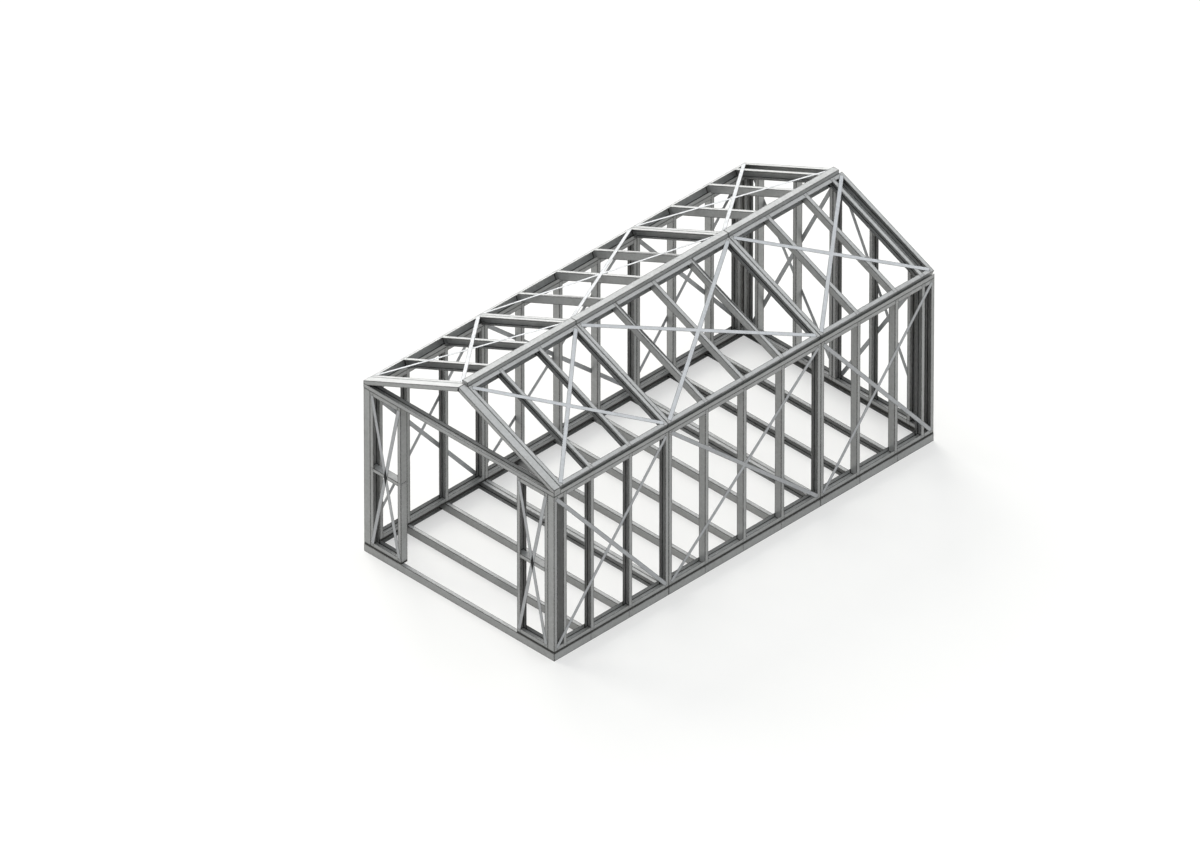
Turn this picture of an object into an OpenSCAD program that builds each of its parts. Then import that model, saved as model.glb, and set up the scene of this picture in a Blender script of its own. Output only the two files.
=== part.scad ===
// Light-gauge steel frame of a gable shed: floor cassettes, stud walls with flat
// strap bracing, a ring of channel on the wall tops and two pitched roof slopes.
// Millimetres, +Z up. The doorway gable faces -Y, the ridge runs along Y.

/* [Overall] */
// Outside width across the side walls
width = 3000; // [2400:50:4000]
// Outside length from the doorway gable to the rear gable
length = 6000; // [4800:100:7200]
// Height of the wall frames
wall_h = 2106; // [1800:1:2700]
// Roof pitch in degrees
pitch = 23.56; // [15:0.01:35]
// Length of the front panels of floor, walls and roof
front_bay = 1800; // [1400:10:2400]
// Length of the rear panels of floor, walls and roof
rear_bay = 1800; // [1400:10:2400]

/* [Sections] */
// Depth of every channel section
depth = 100; // [70:1:150]
// Flange of the studs, joists and rafters
stud_flange = 50; // [35:1:70]
// Flange of the tracks that cap the studs
track_flange = 55; // [35:1:70]
// Flange of the ring on the wall tops
ring_flange = 56; // [40:1:80]
// Return lip of the lipped channels
lip = 14; // [8:1:20]
// Sheet thickness
sheet = 3; // [2:0.5:4]
// Spacing of studs, joists and rafters
spacing = 600; // [400:10:700]

/* [Doorway] */
// Width of the doorway between its jamb studs
door_w = 1830; // [900:10:2200]
// Height of the middle of the noggings beside the doorway
nogging_z = 1172; // [600:1:1700]

/* [Bracing] */
// Width of the flat straps
strap_w = 50; // [30:1:80]
// Thickness of the flat straps
strap_t = 2; // [1:0.5:4]
// Distance from a panel corner to the end of its strap
strap_inset = 20; // [5:1:60]

/* [Details] */
// Thickness of the sole strips between floor and walls
sole_h = 22; // [10:1:50]
// Distance from a gable to the second corner stud
corner_stud = 150; // [100:5:300]
// Width of the ridge cap
cap_w = 86; // [70:1:140]
// Height of the ridge cap
cap_h = 52; // [40:1:80]
// Distance that the ridge cap stops short of the rear gable
cap_back = 50; // [0:5:150]
// Half width of the notch in the gable rafter flanges at the apex
apex_notch = 20; // [5:1:40]
// Open joint between neighbouring panels
joint = 2; // [1:1:6]

/* [Hidden] */

hw = width / 2;
hl = length / 2;
fx = hw - strap_t;
fy = hl - strap_t;
floor_h = depth;
wall_z = floor_h + sole_h;
ring_z = wall_z + wall_h;
ring_top = ring_z + ring_flange;
half_door = door_w / 2;
jh = joint / 2;
// Corners of the straps stand this far inside the panel's edges.
edge = strap_w / 2;
cut1 = -hl + front_bay;
cut2 = hl - rear_bay;

// Roof: the eave corner of each slope stands in the ring, at its web.
tp = tan(pitch);
sp = sin(pitch);
cp = cos(pitch);
eave_x = fx - 5;
apex_z = ring_z + sheet + depth * cp + eave_x * tp;
ridge_x = depth * sp + 4;
slope_len = (eave_x - ridge_x) / cp;
under_z = apex_z - depth / cp;
cap_leg_x = cap_w / 2;
cap_low = cap_leg_x > ridge_x ? apex_z - (cap_leg_x - sheet) * tp :
  apex_z - ridge_x * tp - (ridge_x - cap_leg_x) / tp;
cap_top = cap_low + cap_h;

// Channel section: web along b at a = 0, open toward +a.
function cee(d, f, l) = l > 0 ?
  [[0, 0], [f, 0], [f, l], [f - sheet, l], [f - sheet, sheet], [sheet, sheet],
   [sheet, d - sheet], [f - sheet, d - sheet], [f - sheet, d - l], [f, d - l], [f, d], [0, d]] :
  [[0, 0], [f, 0], [f, sheet], [sheet, sheet], [sheet, d - sheet], [f, d - sheet], [f, d], [0, d]];
// The same section open toward -a, its web at a = f.
function cee_back(d, f, l) = [for (p = cee(d, f, l)) [f - p[0], p[1]]];
// Sections lying down: web along a, open toward +b or toward -b.
function cee_up(d, f, l) = [for (p = cee(d, f, l)) [p[1], p[0]]];
function cee_down(d, f, l) = [for (p = cee(d, f, l)) [p[1], f - p[0]]];

module along_x(len) rotate([90, 0, 90]) linear_extrude(height = len) children();
module along_y(len) translate([0, len, 0]) rotate([90, 0, 0]) linear_extrude(height = len) children();

// Lipped channel seen end on: dir 1 shows its web toward the low side, -1 toward the high side.
module lipped(dir) {
  if (dir > 0) polygon(cee(depth, stud_flange, lip));
  else polygon(cee_back(depth, stud_flange, lip));
}

// Positions between two panel ends that fall on the regular spacing.
function inner(y0, y1) = [for (k = [1 : floor(length / spacing)])
  let (y = -hl + k * spacing)
  if (y - stud_flange / 2 > y0 + 2.2 * stud_flange && y + stud_flange / 2 < y1 - 2.2 * stud_flange)
    y - stud_flange / 2];

// Floor cassette between two stations along the length.
module floor_panel(y0, y1, dir) {
  len = y1 - y0;
  translate([-hw, y0, 0]) along_y(len) polygon(cee(depth, track_flange, 0));
  translate([hw - track_flange, y0, 0]) along_y(len) polygon(cee_back(depth, track_flange, 0));
  translate([-hw, y0, 0]) along_x(width) polygon(cee(depth, stud_flange, 0));
  translate([-hw, y1 - stud_flange, 0]) along_x(width) polygon(cee_back(depth, stud_flange, 0));
  for (y = inner(y0, y1))
    translate([-hw + sheet / 2, y, 0]) along_x(width - sheet) lipped(dir);
}

// Stud wall along Y: x0 is its low face.
module side_panel(x0, y0, y1, dir, extra) {
  len = y1 - y0;
  translate([x0, y0, wall_z]) along_y(len) polygon(cee_up(depth, track_flange, 0));
  translate([x0, y0, wall_z + wall_h - track_flange]) along_y(len)
    polygon(cee_down(depth, track_flange, 0));
  side_stud(x0, y0, 1);
  side_stud(x0, y1 - stud_flange, -1);
  for (y = inner(y0, y1)) side_stud(x0, y, dir);
  if (extra > 0) side_stud(x0, -hl + corner_stud, 1);
  if (extra < 0) side_stud(x0, hl - corner_stud - stud_flange, -1);
}

module side_stud(x0, y, dir) {
  translate([x0, y, wall_z]) linear_extrude(height = wall_h)
    polygon([for (p = dir > 0 ? cee(depth, stud_flange, lip) : cee_back(depth, stud_flange, lip))
      [p[1], p[0]]]);
}

// Narrow wall beside the doorway, with a nogging at mid height; side 1 is the right one.
module pier(side) {
  x_out = fx - depth;
  len = x_out - half_door;
  x0 = side > 0 ? half_door : -x_out;
  translate([x0, -fy, wall_z]) along_x(len) polygon(cee_up(depth, track_flange, 0));
  translate([x0, -fy, wall_z + wall_h - track_flange]) along_x(len)
    polygon(cee_down(depth, track_flange, 0));
  translate([x0, -fy, wall_z]) linear_extrude(height = wall_h) lipped(1);
  translate([x0 + len - stud_flange, -fy, wall_z]) linear_extrude(height = wall_h) lipped(-1);
  translate([x0 + sheet / 2, -fy, nogging_z - stud_flange / 2]) along_x(len - sheet)
    polygon(cee_down(depth, stud_flange, 0));
}

// Raked rear wall: half of the gable, its head following the underside of the roof.
// Its studs stand inside the tracks' flanges, half a sheet back from their faces.
module rear_panel(side) {
  x_out = fx - depth;
  x_in = jh;
  intersection() {
    for (x = rear_studs())
      translate([side > 0 ? x : -x - stud_flange, fy - depth + sheet / 2, wall_z + sheet / 2])
        linear_extrude(height = under_z - wall_z + 10)
          polygon(side * rear_dir(x) > 0 ? cee(depth - sheet, stud_flange, lip) :
            cee_back(depth - sheet, stud_flange, lip));
    under_roof(side, -1, x_out + 1, wall_z - 1, under_z - sheet / 2 / cp, fy - depth - 1, depth + 2);
  }
  translate([side > 0 ? x_in : -x_out, fy - depth, wall_z]) along_x(x_out - x_in)
    polygon(cee_up(depth, track_flange, 0));
  intersection() {
    translate([0, fy - depth, under_z]) rotate([0, side * pitch, 0])
      translate([side > 0 ? -40 : -x_out / cp - 40, 0, -track_flange])
        along_x(x_out / cp + 80) polygon(cee_down(depth, track_flange, 0));
    translate([side > 0 ? x_in : -x_out, fy - depth - 1, wall_z])
      cube([x_out - x_in, depth + 2, under_z]);
  }
}

function rear_studs() = concat([jh + sheet / 2],
  [for (k = [1 : floor(hw / spacing)]) if (k * spacing < fx - depth - 2.2 * stud_flange)
    k * spacing - stud_flange / 2],
  [fx - depth - stud_flange - sheet / 2]);
function rear_dir(x) = x > fx - depth - 1.5 * stud_flange ? -1 : 1;

// Prism between x0 and x1 on one side, from z0 up to a line falling at the pitch from z_top.
module under_roof(side, x0, x1, z0, z_top, y, dy) {
  translate([0, y + dy, 0]) rotate([90, 0, 0]) linear_extrude(height = dy)
    polygon([[side * x0, z0], [side * x1, z0], [side * x1, z_top - x1 * tp],
      [side * x0, z_top - x0 * tp]]);
}

// Channel on the wall tops, its web down.
module ring_y(x0) {
  translate([x0, -fy + depth, ring_z]) along_y(2 * fy - depth)
    polygon(cee_up(depth, ring_flange, 0));
}

// Rafter lying flat along the doorway gable, its flanges notched at the apex.
module gable_rafter(side) {
  difference() {
    intersection() {
      translate([0, -fy, apex_z]) rotate([0, side * pitch, 0])
        translate([side > 0 ? -40 : -fx / cp - 40, 0, -track_flange])
          along_x(fx / cp + 80) polygon(cee_down(depth, track_flange, 0));
      under_roof(side, joint / 4, fx, ring_top, apex_z + 5, -fy - 1, depth + 2);
    }
    translate([0, -fy + depth + 1, 0]) rotate([90, 0, 0]) linear_extrude(height = depth + 2)
      polygon([[0, apex_z - sheet / cp - 2], [side * apex_notch, apex_z - track_flange / cp - 12],
        [side * apex_notch, apex_z - 2 * track_flange], [0, apex_z - 2 * track_flange]]);
  }
}

// Places one slope: x runs down the slope from the ridge, z = 0 is its top face.
module slope(side) {
  translate([side * ridge_x, 0, apex_z - ridge_x * tp]) rotate([0, side * pitch, 0])
    translate([side > 0 ? 0 : -slope_len, 0, 0]) children();
}

module roof_panel(y0, y1, dir, extra) {
  len = y1 - y0;
  translate([0, y0, -depth]) along_y(len) polygon(cee(depth, track_flange, 0));
  translate([slope_len - track_flange, y0, -depth]) along_y(len)
    polygon(cee_back(depth, track_flange, 0));
  rafter(y0, 1);
  rafter(y1 - stud_flange, -1);
  for (y = inner(y0, y1)) rafter(y, dir);
  if (extra > 0) rafter(hl - corner_stud - stud_flange, -1);
}

module rafter(y, dir) {
  translate([sheet / 2, y, -depth]) along_x(slope_len - sheet) lipped(dir);
}

// Flat strap from p toward q, stopping short of both by the inset.
module strap(p, q) {
  d = q - p;
  n = norm(d);
  e = d / n;
  s = [-e[1], e[0]] * strap_w / 2;
  a = p + e * strap_inset;
  b = q - e * strap_inset;
  polygon([a - s, b - s, b + s, a + s]);
}

// Two straps crossing over a panel with corners a, b (low) and c, d (high).
module cross(a, b, c, d) {
  linear_extrude(height = strap_t) strap(a, c);
  linear_extrude(height = strap_t) strap(b, d);
}

module side_cross(x, y0, y1) {
  z0 = wall_z + edge;
  z1 = wall_z + wall_h - edge;
  translate([x, 0, 0]) rotate([90, 0, 90])
    cross([y0 + edge, z0], [y1 - edge, z0], [y1 - edge, z1], [y0 + edge, z1]);
}

module side_straps(x) {
  side_cross(x, -fy, cut1 - jh);
  side_cross(x, cut1 + jh, cut2 - jh);
  side_cross(x, cut2 + jh, fy);
}

module pier_cross(side) {
  x0 = half_door + edge;
  x1 = fx - depth - edge;
  z0 = wall_z + edge;
  z1 = wall_z + wall_h - edge;
  translate([0, -fy, 0]) rotate([90, 0, 0])
    cross([side * x0, z0], [side * x1, z0], [side * x1, z1], [side * x0, z1]);
}

module rear_cross(side) {
  x0 = jh + edge;
  x1 = fx - depth - edge;
  z0 = wall_z + edge;
  translate([0, hl, 0]) rotate([90, 0, 0])
    cross([side * x0, z0], [side * x1, z0], [side * x1, under_z - x1 * tp - edge / cp],
      [side * x0, under_z - x0 * tp - edge / cp]);
}

module roof_cross(y0, y1) {
  cross([edge, y0 + edge], [slope_len - edge, y0 + edge],
    [slope_len - edge, y1 - edge], [edge, y1 - edge]);
}

module roof_straps(side) {
  slope(side) {
    roof_cross(-fy + depth + jh, cut1 - jh);
    roof_cross(cut1 + jh, cut2 - jh);
    roof_cross(cut2 + jh, fy);
  }
}

module cap(y0, y1) {
  translate([-cap_w / 2, y0, cap_low]) along_y(y1 - y0)
    polygon([for (p = cee(cap_w, cap_h, 0)) [p[1], cap_h - p[0]]]);
}

// Floor cassettes.
module floor_front() color("silver") floor_panel(-hl, cut1 - jh, 1);
module floor_middle() color("silver") floor_panel(cut1 + jh, cut2 - jh, 1);
module floor_rear() color("silver") floor_panel(cut2 + jh, hl, -1);

// Dark strips between the floor frame and the wall bottoms.
module sole_left() color("dimgray") translate([-fx, -fy, floor_h]) cube([depth, 2 * fy, sole_h]);
module sole_right() color("dimgray")
  translate([fx - depth, -fy, floor_h]) cube([depth, 2 * fy, sole_h]);
module sole_front() color("dimgray") {
  translate([half_door, -fy, floor_h]) cube([fx - depth - half_door, depth, sole_h]);
  translate([-fx + depth, -fy, floor_h]) cube([fx - depth - half_door, depth, sole_h]);
}
module sole_rear() color("dimgray")
  translate([-fx + depth, fy - depth, floor_h]) cube([2 * (fx - depth), depth, sole_h]);

// Side walls.
module wall_left_front() color("silver") side_panel(-fx, -fy, cut1 - jh, -1, 1);
module wall_left_middle() color("silver") side_panel(-fx, cut1 + jh, cut2 - jh, 1, 0);
module wall_left_rear() color("silver") side_panel(-fx, cut2 + jh, fy, 1, -1);
module wall_right_front() color("silver") side_panel(fx - depth, -fy, cut1 - jh, -1, 1);
module wall_right_middle() color("silver") side_panel(fx - depth, cut1 + jh, cut2 - jh, 1, 0);
module wall_right_rear() color("silver") side_panel(fx - depth, cut2 + jh, fy, 1, -1);
module strap_wall_left() color("gainsboro") side_straps(-hw);
module strap_wall_right() color("gainsboro") side_straps(fx);

// Doorway gable.
module pier_left() color("silver") pier(-1);
module pier_right() color("silver") pier(1);
module strap_piers() color("gainsboro") {
  pier_cross(-1);
  pier_cross(1);
}
module ring_front() color("silver")
  translate([-fx, -fy, ring_z]) along_x(2 * fx) polygon(cee_up(depth, ring_flange, 0));
module gable_rafter_left() color("silver") gable_rafter(-1);
module gable_rafter_right() color("silver") gable_rafter(1);
module end_plates() color("silver") for (x = [-hw, fx])
  translate([x, -fy, ring_z + 2 * sheet])
    cube([strap_t, depth, apex_z - hw * tp - ring_z - 2 * sheet]);

// Rear gable.
module wall_rear_left() color("silver") rear_panel(-1);
module wall_rear_right() color("silver") rear_panel(1);
module strap_wall_rear() color("gainsboro") {
  rear_cross(-1);
  rear_cross(1);
}

// Ring on the side walls.
module ring_left() color("silver") ring_y(-fx);
module ring_right() color("silver") ring_y(fx - depth);

// Roof slopes.
module roof_left_front() color("silver")
  slope(-1) roof_panel(-fy + depth + jh, cut1 - jh, -1, 0);
module roof_left_middle() color("silver") slope(-1) roof_panel(cut1 + jh, cut2 - jh, 1, 0);
module roof_left_rear() color("silver") slope(-1) roof_panel(cut2 + jh, fy, 1, 1);
module roof_right_front() color("silver")
  slope(1) roof_panel(-fy + depth + jh, cut1 - jh, -1, 0);
module roof_right_middle() color("silver") slope(1) roof_panel(cut1 + jh, cut2 - jh, 1, 0);
module roof_right_rear() color("silver") slope(1) roof_panel(cut2 + jh, fy, 1, 1);
module strap_roof_left() color("gainsboro") roof_straps(-1);
module strap_roof_right() color("gainsboro") roof_straps(1);

// Ridge cap over the gap between the slopes, closed at its front end.
module ridge_cap_front() color("silver") {
  cap(-fy + depth + jh, cut1 - jh);
  translate([-cap_w / 2 + sheet / 2, -fy + depth + jh, cap_low])
    cube([cap_w - sheet, sheet, cap_h - sheet / 2]);
}
module ridge_cap_middle() color("silver") cap(cut1 + jh, cut2 - jh);
module ridge_cap_rear() color("silver") cap(cut2 + jh, hl - cap_back);

floor_front();
floor_middle();
floor_rear();
sole_left();
sole_right();
sole_front();
sole_rear();
wall_left_front();
wall_left_middle();
wall_left_rear();
wall_right_front();
wall_right_middle();
wall_right_rear();
strap_wall_left();
strap_wall_right();
pier_left();
pier_right();
strap_piers();
wall_rear_left();
wall_rear_right();
strap_wall_rear();
ring_front();
ring_left();
ring_right();
gable_rafter_left();
gable_rafter_right();
end_plates();
roof_left_front();
roof_left_middle();
roof_left_rear();
roof_right_front();
roof_right_middle();
roof_right_rear();
strap_roof_left();
strap_roof_right();
ridge_cap_front();
ridge_cap_middle();
ridge_cap_rear();
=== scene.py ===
import math
import bmesh
import bpy
import numpy as np
from mathutils import Matrix, Vector


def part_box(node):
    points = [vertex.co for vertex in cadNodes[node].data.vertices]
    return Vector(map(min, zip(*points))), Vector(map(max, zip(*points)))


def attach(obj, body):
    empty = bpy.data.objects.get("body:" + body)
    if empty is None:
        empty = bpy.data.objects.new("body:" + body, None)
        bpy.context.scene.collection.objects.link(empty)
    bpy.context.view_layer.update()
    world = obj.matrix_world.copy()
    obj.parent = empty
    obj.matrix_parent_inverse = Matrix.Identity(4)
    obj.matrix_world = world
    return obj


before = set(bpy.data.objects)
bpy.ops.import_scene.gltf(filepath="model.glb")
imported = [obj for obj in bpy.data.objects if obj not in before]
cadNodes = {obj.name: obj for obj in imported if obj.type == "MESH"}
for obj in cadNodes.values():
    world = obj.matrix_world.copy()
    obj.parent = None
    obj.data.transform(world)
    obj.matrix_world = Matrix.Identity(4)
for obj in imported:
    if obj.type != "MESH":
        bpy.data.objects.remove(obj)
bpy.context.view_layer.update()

scene = bpy.context.scene
render_levels = 1
print("frame loaded:", len(cadNodes), "nodes")


def toLinear(hexColour):
    # sRGB hex to linear: the power 2.4 curve with its short straight start
    srgb = np.array([int(hexColour[i:i + 2], 16) for i in (1, 3, 5)]) / 255
    linear = np.where(srgb <= 0.04045, srgb / 12.92, ((srgb + 0.055) / 1.055) ** 2.4)
    return tuple(float(c) for c in linear) + (1.0,)


def addNode(tree, kind, inputs=None, **settings):
    # adds one node, sets its settings, then fills or links its inputs
    node = tree.nodes.new(kind)
    for key, value in settings.items():
        setattr(node, key, value)
    for key, value in (inputs or {}).items():
        if isinstance(value, bpy.types.NodeSocket):
            tree.links.new(value, node.inputs[key])
        else:
            node.inputs[key].default_value = value
    return node


def newMaterial(name):
    material = bpy.data.materials.new(name)
    material.use_nodes = True
    material.node_tree.nodes.clear()
    return material, material.node_tree


def colourSteps(tree, factor, steps):
    # a colour ramp through (position, hex) steps
    ramp = addNode(tree, "ShaderNodeValToRGB", {"Fac": factor})
    stops = ramp.color_ramp.elements
    for i, (place, hexColour) in enumerate(steps):
        stop = stops[i] if i < 2 else stops.new(place)
        stop.position, stop.color = place, toLinear(hexColour)
    return ramp.outputs["Color"]


# Hot-dip galvanised steel sheet, cold rolled into channels. The zinc freezes in crystals that
# catch the light a little differently, under a cloudy oxide bloom. Bends and cut edges are
# painted near black, a painted shade along them.
galvanised = {
    # the first step, near black, is painted shade for the bends and cut edges
    "steps": ((0.0, "#080706"), (0.35, "#989895"), (1.0, "#ABABA9")),
    "crystal": 0.024,  # real crystals are 8 to 15 mm, drawn about twice as coarse to show
    "bloom": 0.45,     # clouds of oxide, half a metre across
    "edge": 0.013,     # width of the painted shade along the bends and cut edges
    "metallic": 0.3,
    "roughness": (0.34, 0.46),
    "relief": 0.0002,
}

# Flat zinc-coated strip, levelled under tension, so smoother and paler than the channels.
strip = {
    # the first step, near black, is painted shade for the bends and cut edges
    "steps": ((0.0, "#141311"), (0.35, "#A6A7A7"), (1.0, "#B6B7B8")),
    "crystal": 0.03,
    "bloom": 0.3,
    "edge": 0.009,
    "metallic": 0.3,
    "roughness": (0.3, 0.42),
    "relief": 0.0002,
}


def zincSheet(name, v):
    # tone = half crystals, half bloom; the painted bend-shade mask is one minus the dot product of
    # the rounded normal and the true one, so it is 0 on flats and grows towards bends, painting them
    # near black
    material, tree = newMaterial(name)
    place = addNode(tree, "ShaderNodeTexCoord").outputs["Object"]
    crystal = addNode(tree, "ShaderNodeTexVoronoi", {"Vector": place, "Scale": 1 / v["crystal"]})
    grey = addNode(tree, "ShaderNodeSeparateColor", {"Color": crystal.outputs["Color"]}).outputs[0]
    bloom = addNode(tree, "ShaderNodeTexNoise", {"Vector": place, "Scale": 1 / v["bloom"],
                                                 "Detail": 5.0, "Roughness": 0.6}).outputs[0]
    tone = addNode(tree, "ShaderNodeMath", {0: grey, 1: 0.45}, operation="MULTIPLY").outputs[0]
    tone = addNode(tree, "ShaderNodeMath", {0: bloom, 1: 0.9, 2: tone},
                   operation="MULTIPLY_ADD").outputs[0]
    shade = addNode(tree, "ShaderNodeMapRange", {"Value": tone, "From Min": 0.3, "From Max": 1.0,
                                                 "To Min": 0.35, "To Max": 1.0}).outputs[0]
    flatNormal = addNode(tree, "ShaderNodeNewGeometry").outputs["Normal"]
    roundNormal = addNode(tree, "ShaderNodeBevel", {"Radius": v["edge"]}, samples=8).outputs[0]
    likeness = addNode(tree, "ShaderNodeVectorMath", {0: flatNormal, 1: roundNormal},
                       operation="DOT_PRODUCT").outputs["Value"]
    bendShadeMask = addNode(tree, "ShaderNodeMapRange", {"Value": likeness, "From Min": 0.955,
                                                    "From Max": 0.999}).outputs[0]
    # the mask multiplies the tone, so bends and cut edges take the near-black painted shade of the
    # first colour step
    factor = addNode(tree, "ShaderNodeMath", {0: shade, 1: bendShadeMask},
                     operation="MULTIPLY").outputs[0]
    rough = addNode(tree, "ShaderNodeMapRange", {"Value": grey, "To Min": v["roughness"][0],
                                                 "To Max": v["roughness"][1]}).outputs[0]
    bump = addNode(tree, "ShaderNodeBump", {"Height": grey, "Strength": 0.3,
                                            "Distance": v["relief"]}).outputs[0]
    shader = addNode(tree, "ShaderNodeBsdfPrincipled", {
        "Base Color": colourSteps(tree, factor, v["steps"]), "Metallic": v["metallic"],
        "Roughness": rough, "Normal": bump})
    addNode(tree, "ShaderNodeOutputMaterial", {"Surface": shader.outputs[0]})
    return material


# Sole strip of bitumen felt between the floor frame and the walls: near black, dull and grainy.
soleValues = {"steps": ((0.0, "#1E1D1B"), (1.0, "#3A3834")), "grit": 0.012, "relief": 0.0008}


def bitumenFelt(name, v):
    material, tree = newMaterial(name)
    place = addNode(tree, "ShaderNodeTexCoord").outputs["Object"]
    grit = addNode(tree, "ShaderNodeTexNoise", {"Vector": place, "Scale": 1 / v["grit"],
                                                "Detail": 6.0, "Roughness": 0.7}).outputs[0]
    bump = addNode(tree, "ShaderNodeBump", {"Height": grit, "Strength": 0.6,
                                            "Distance": v["relief"]}).outputs[0]
    rough = addNode(tree, "ShaderNodeMapRange", {"Value": grit, "To Min": 0.75,
                                                 "To Max": 0.95}).outputs[0]
    shader = addNode(tree, "ShaderNodeBsdfPrincipled", {
        "Base Color": colourSteps(tree, grit, v["steps"]), "Roughness": rough, "Normal": bump})
    addNode(tree, "ShaderNodeOutputMaterial", {"Surface": shader.outputs[0]})
    return material


# Pads of black rubber: duller and darker than the felt, with a fine moulded grain. The same black
# also stands as painted shade in the notch under the apex.
padValues = {"steps": ((0.0, "#050505"), (1.0, "#121212")), "grit": 0.006, "relief": 0.0003}

# Zinc-plated screw heads: darker and glossier than the sheet, with hardly any pattern. Their lowest
# colour step is a painted shade for the bends, as on the sheet.
plating = {"steps": ((0.0, "#2B2A28"), (0.35, "#7C7C7A"), (1.0, "#8C8C8A")), "crystal": 0.01,
           "bloom": 0.1, "edge": 0.0005, "metallic": 0.6, "roughness": (0.3, 0.36),
           "relief": 0.0001}

channelSteel = zincSheet("galvanisedChannelSteel", galvanised)
strapSteel = zincSheet("galvanisedStripSteel", strip)
soleFelt = bitumenFelt("bitumenFelt", soleValues)
padRubberAndShade = bitumenFelt("blackRubberAndPaintedShade", padValues)
screwZinc = zincSheet("platedScrewSteel", plating)

bends = {"radius": 0.0012, "segments": 2}  # rounds the folded corners of the channels

for nodeName, piece in cadNodes.items():
    finish = (soleFelt if nodeName.startswith("sole") else
              strapSteel if nodeName.startswith("strap") else channelSteel)
    piece.data.materials.clear()
    piece.data.materials.append(finish)
    if not nodeName.startswith("sole"):
        weld = piece.modifiers.new("weld", "WELD")
        weld.merge_threshold = 0.00005
        bevel = piece.modifiers.new("bends", "BEVEL")
        bevel.width, bevel.segments = bends["radius"], bends["segments"]
        bevel.limit_method, bevel.angle_limit = "ANGLE", math.radians(40)
        bevel.harden_normals = False
print("materials on the CAD nodes")

# Small fixings, all built the same way: a dome is a function of turn and of height, its radius
# r = half width * cos(t) and its height h = rise * sin(t), with a closed pole at the top and
# a closed disc at the foot.
screws = {"radius": 0.0065, "rise": 0.0035, "turns": 12, "rings": 4}


def domes(name, centres, normals, v, material, slot):
    turn = np.linspace(0, 2 * math.pi, v["turns"], endpoint=False)
    climb = np.linspace(0, math.pi / 2, v["rings"] + 1)[:-1]
    t, h = np.meshgrid(turn, climb)
    across = v["radius"] * np.cos(h)
    ring = np.stack([across * np.cos(t), across * np.sin(t), v["rise"] * np.sin(h)], -1)
    local = np.vstack([ring.reshape(-1, 3), [(0, 0, v["rise"])]])
    out = np.array(normals, float)
    out /= np.linalg.norm(out, axis=1)[:, None]
    helper = np.where(np.abs(out[:, 2:]) > 0.9, [[1.0, 0, 0]], [[0, 0, 1.0]])
    side = np.cross(helper, out)
    side /= np.linalg.norm(side, axis=1)[:, None]
    basis = np.stack([side, np.cross(out, side), out], 1)
    points = np.einsum("pk,nkc->npc", local, basis) + np.array(centres, float)[:, None]
    n, m = v["turns"], v["rings"]
    i, j = np.meshgrid(np.arange(n), np.arange(m - 1))
    a, b = i + n * j, (i + 1) % n + n * j
    quads = np.stack([a, b, b + n, a + n], -1).reshape(-1, 4)
    top = np.arange(n) + n * (m - 1)
    caps = np.stack([top, np.roll(top, -1), np.full(n, n * m)], -1)
    faces = [tuple(q) for q in quads.tolist()] + [tuple(q) for q in caps.tolist()]
    faces.append(tuple(range(n - 1, -1, -1)))
    every = [tuple(k + s * len(local) for k in f) for s in range(len(points)) for f in faces]
    return placePiece(name, points.reshape(-1, 3), every, material, smooth=True)


def placePiece(name, points, faces, material, smooth=False):
    mesh = bpy.data.meshes.new(name)
    mesh.from_pydata(points.tolist(), [], faces)
    mesh.polygons.foreach_set("use_smooth", [smooth] * len(mesh.polygons))
    mesh.materials.append(material)
    piece = bpy.data.objects.new(name, mesh)
    scene.collection.objects.link(piece)
    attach(piece, "root")
    return piece


# The frame's own sizes in metres, as the CAD model has them.
shed = {"halfWidth": 1.5, "halfLength": 3.0, "face": 1.498, "endFace": 2.998, "depth": 0.1,
        "spacing": 0.6, "pitch": 23.56, "wallFoot": 0.122, "wallTop": 2.228,
        "halfDoor": 0.915, "nogging": 1.172}
tilt = math.radians(shed["pitch"])
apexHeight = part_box("gable_rafter_left")[1].z


def slopePoint(side, down, y):
    # a point on a slope's top face: down is the distance along the slope from the apex
    return (side * down * math.cos(tilt), y, apexHeight - down * math.sin(tilt))


def roofScrews():
    # one screw in each rafter's flange at the ridge track and one at the eave track
    ridge = 0.075
    eave = (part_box("roof_right_middle")[1].x - 0.03) / math.cos(tilt)
    rows = np.arange(-2.4, 2.41, shed["spacing"])
    rows = rows[np.abs(np.abs(rows) - 1.2) > 0.1]
    seams = np.array([-2.87, -1.228, -1.172, 1.172, 1.228, 2.825, 2.973])
    rows = np.concatenate([rows, seams])
    spots = [(side, down, y) for side in (-1, 1) for down in (ridge, eave) for y in rows]
    centres = [slopePoint(*spot) for spot in spots]
    normals = [(spot[0] * math.sin(tilt), 0, math.cos(tilt)) for spot in spots]
    return centres, normals


def wallScrews():
    # on the outer flange of every stud, at the bottom and head tracks, and on the end plates
    rows = np.arange(-2.4, 2.41, shed["spacing"])
    rows = rows[np.abs(np.abs(rows) - 1.2) > 0.1]
    rows = np.concatenate([rows, [-2.973, -2.825, -1.228, -1.172, 1.172, 1.228, 2.825, 2.973]])
    low, high = shed["wallFoot"] + 0.03, shed["wallTop"] - 0.03
    spots = [(side * shed["face"], y, z) for side in (-1, 1) for y in rows for z in (low, high)]
    plates = [(side * shed["halfWidth"], y, z) for side in (-1, 1)
              for y, z in ((-2.937, 2.276), (-2.961, 2.267))]
    centres = spots + plates
    return centres, [(np.sign(c[0]), 0, 0) for c in centres]


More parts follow.
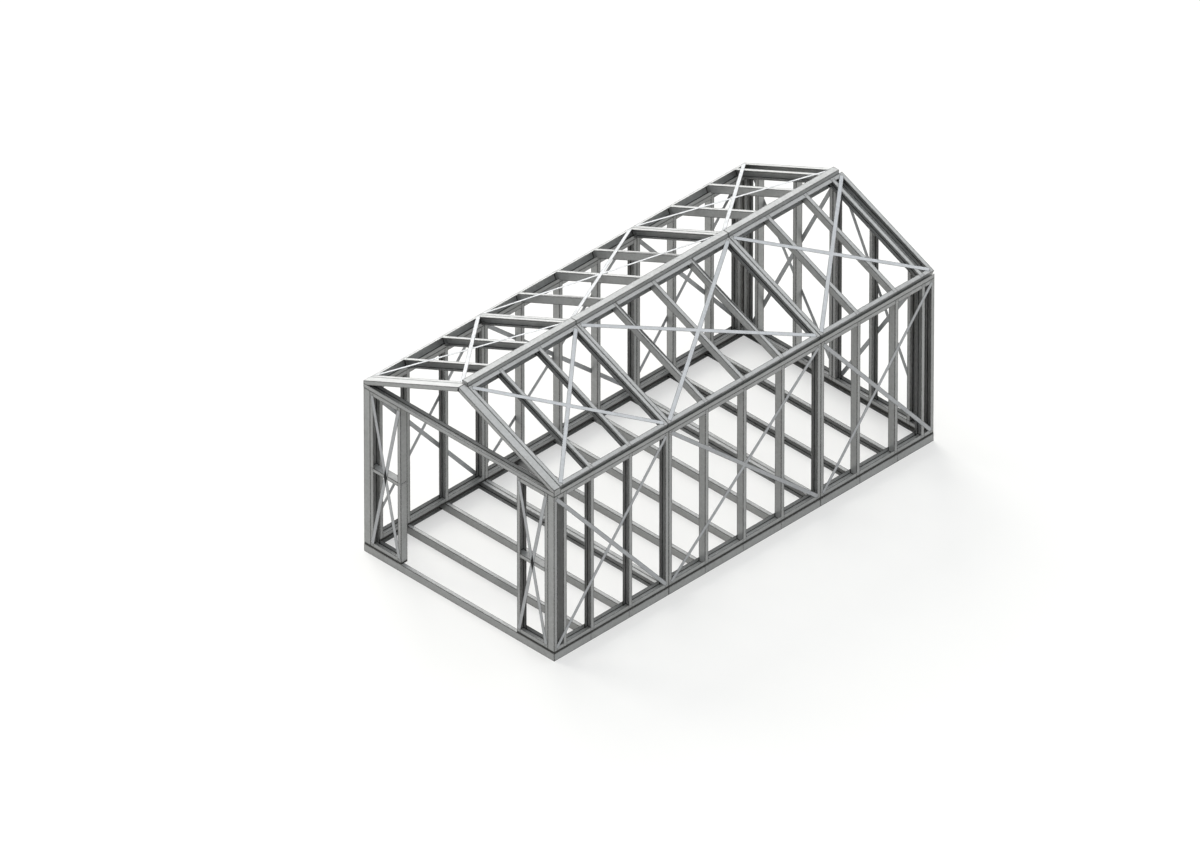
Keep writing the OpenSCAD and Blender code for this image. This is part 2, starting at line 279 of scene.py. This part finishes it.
def gableScrews():
    # on the doorway piers' jamb reveals at the nogging, and on the faces of their studs
    half, foot, top = shed["halfDoor"], shed["wallFoot"] + 0.03, shed["wallTop"] - 0.03
    reveal = [(side * half, y, shed["nogging"]) for side in (-1, 1) for y in (-2.97, -2.93)]
    normals = [(-np.sign(c[0]), 0, 0) for c in reveal]
    faces = [(side * x, -shed["endFace"], z) for side in (-1, 1) for x in (half + 0.03, 1.368)
             for z in (foot, shed["nogging"], top)]
    return reveal + faces, normals + [(0, -1, 0)] * len(faces)


for name, makeSpots in (("screwsRoof", roofScrews), ("screwsWalls", wallScrews),
                        ("screwsDoorway", gableScrews)):
    domes(name, *makeSpots(), screws, screwZinc, "galvanised_steel")
print("screws placed")

# Dark pads where two straps lie over each other: a rhombus, the overlap of both strips, with
# its faces a plate's thickness apart. Its half diagonals are w / (2 sin(a)) and w / (2 cos(a)).
pads = {"thick": 0.0012, "width": 0.05}  # as wide as the straps


def crossingPads():
    inset = pads["width"] / 2
    z0, z1 = shed["wallFoot"] + inset, shed["wallTop"] - inset
    x0, x1 = shed["halfDoor"] + inset, shed["face"] - shed["depth"] - inset
    low = [np.array((x0, z0)), np.array((x1, z0))]
    high = [np.array((x1, z1)), np.array((x0, z1))]
    crossings = [(-shed["halfLength"], -1, side, low, high) for side in (-1, 1)]
    underApex = apexHeight - shed["depth"] / math.cos(tilt)
    x0 = 0.001 + inset
    tops = [underApex - x * math.tan(tilt) - inset / math.cos(tilt) for x in (x0, x1)]
    low = [np.array((x0, z0)), np.array((x1, z0))]
    high = [np.array((x1, tops[1])), np.array((x0, tops[0]))]
    crossings += [(shed["halfLength"], 1, side, low, high) for side in (-1, 1)]
    points, faces = [], []
    for y, outward, side, low, high in crossings:
        first, second = high[0] - low[0], high[1] - low[1]
        first, second = first / np.linalg.norm(first), second / np.linalg.norm(second)
        span = low[1] - low[0]
        along = np.linalg.solve(np.stack([first, -second], 1), span)[0]
        middle = low[0] + first * along
        reach = pads["width"] / 2 / abs(first[0] * second[1] - first[1] * second[0])
        corners = [middle + reach * (s * first + t * second)
                   for s, t in ((1, 1), (-1, 1), (-1, -1), (1, -1))]
        for depth in (0.0, pads["thick"]):
            points += [(side * c[0], y + outward * depth, c[1]) for c in corners]
        k = len(points) - 8
        faces += [(k, k + 1, k + 2, k + 3), (k + 7, k + 6, k + 5, k + 4)]
        faces += [(k + i, k + 4 + i, k + 4 + (i + 1) % 4, k + (i + 1) % 4) for i in range(4)]
    piece = placePiece("crossingPads", np.array(points), faces, padRubberAndShade)
    rounding = piece.modifiers.new("rounding", "BEVEL")
    rounding.width, rounding.segments = 0.0004, 2
    edit = bmesh.new()
    edit.from_mesh(piece.data)
    bmesh.ops.recalc_face_normals(edit, faces=edit.faces)
    edit.to_mesh(piece.data)
    edit.free()


crossingPads()

# Painted shade: a dark wedge standing for the shadow in the notch where the two gable rafters'
# flanges meet under the apex: a triangle with a raised foot, carried a plate's thickness along Y.
wedge = {"top": 0.006, "foot": 0.064, "middle": 0.057, "half": 0.02, "front": -0.0015,
         "thick": 0.004}


def apexWedge(v):
    outline = np.array([(0, -v["top"]), (-v["half"], -v["foot"]), (0, -v["middle"]),
                        (v["half"], -v["foot"])])
    front = -shed["endFace"] + v["front"]
    points = [(x, y, apexHeight + z) for y in (front, front + v["thick"]) for x, z in outline]
    faces = [(0, 1, 2), (0, 2, 3), (4, 6, 5), (4, 7, 6)]
    faces += [(i, i + 4, (i + 1) % 4 + 4, (i + 1) % 4) for i in range(4)]
    # painted shade: the wedge takes the black rubber colour where the notch shows only shadow
    placePiece("apexWedge", np.array(points), faces, padRubberAndShade)


apexWedge(wedge)
print("crossing pads and apex wedge placed")

# Camera: an isometric angle through a very long lens, so parallel edges stay parallel.
cameraValues = {"lens": 1000.0, "across": 13.373, "right": -0.553, "up": 0.793, "depth": 0.87}


def makeCamera(v):
    back = Vector((1, -1, 1)).normalized()
    right = Vector((1, 1, 0)).normalized()
    up = back.cross(right)
    data = bpy.data.cameras.new("camera")
    data.lens, data.sensor_width = v["lens"], 36.0
    distance = v["across"] * v["lens"] / data.sensor_width + v["depth"]
    data.clip_start, data.clip_end = 10.0, 2 * distance
    camera = bpy.data.objects.new("camera", data)
    camera.location = right * v["right"] + up * v["up"] + back * distance
    camera.rotation_euler = back.to_track_quat("Z", "Y").to_euler()
    scene.collection.objects.link(camera)
    scene.camera = camera


makeCamera(cameraValues)

# Studio: a pale floor that keeps a soft shadow, a white surround, a low broad lamp on the left
# and a ceiling of soft light.
studio = {"floorSize": 60.0, "floorColour": "#B3B1AC", "floorGlow": 0.46,
          "ambient": (0.28, 0.30, 0.34),
          "lamps": {"leftLamp": {"power": 4.0, "tint": (1.0, 1.0, 0.99), "from": (-2.0, 0.25, 1.0),
                                 "spread": 60.0},
                    "ceilingLamp": {"power": 1.8, "tint": (0.93, 0.97, 1.0), "from": (0.25, 0.1, 1.0),
                                    "spread": 110.0}}}


def whiteToTheEye(tree):
    # 1 for rays from the camera and for rays in a reflection or through glass, 0 for light
    path = addNode(tree, "ShaderNodeLightPath")
    seen = addNode(tree, "ShaderNodeMath", {0: path.outputs["Is Camera Ray"],
                                            1: path.outputs["Is Glossy Ray"]}, operation="ADD")
    return addNode(tree, "ShaderNodeMath", {0: seen.outputs[0],
                                            1: path.outputs["Is Transmission Ray"]},
                   operation="ADD", use_clamp=True).outputs[0]


def makeStudio(v):
    half = v["floorSize"] / 2
    mesh = bpy.data.meshes.new("floor")
    mesh.from_pydata([(-half, -half, 0), (half, -half, 0), (half, half, 0), (-half, half, 0)],
                     [], [(0, 1, 2, 3)])
    floor = bpy.data.objects.new("floor", mesh)
    scene.collection.objects.link(floor)
    material, tree = newMaterial("paleFloor")
    glow = addNode(tree, "ShaderNodeMath", {0: whiteToTheEye(tree), 1: v["floorGlow"]},
                   operation="MULTIPLY").outputs[0]
    emission = addNode(tree, "ShaderNodeEmission", {"Strength": glow})
    diffuse = addNode(tree, "ShaderNodeBsdfDiffuse", {"Color": toLinear(v["floorColour"])})
    both = addNode(tree, "ShaderNodeAddShader", {0: emission.outputs[0], 1: diffuse.outputs[0]})
    addNode(tree, "ShaderNodeOutputMaterial", {"Surface": both.outputs[0]})
    mesh.materials.append(material)

    world = bpy.data.worlds.new("surround")
    scene.world = world
    world.use_nodes = True
    tree = world.node_tree
    tree.nodes.clear()
    seen = whiteToTheEye(tree)
    strength = addNode(tree, "ShaderNodeMixRGB", {"Fac": seen, "Color1": (*v["ambient"], 1),
                                                  "Color2": (1, 1, 1, 1)}).outputs[0]
    sky = addNode(tree, "ShaderNodeBackground", {"Color": strength})
    addNode(tree, "ShaderNodeOutputWorld", {"Surface": sky.outputs[0]})

    for name, lampValues in v["lamps"].items():
        data = bpy.data.lights.new(name, "SUN")
        data.energy, data.angle = lampValues["power"], math.radians(lampValues["spread"])
        data.color = lampValues["tint"]
        lamp = bpy.data.objects.new(name, data)
        lamp.rotation_euler = Vector(lampValues["from"]).to_track_quat("Z", "Y").to_euler()
        scene.collection.objects.link(lamp)


makeStudio(studio)
scene.view_settings.view_transform = "Standard"
print("camera, floor and light")
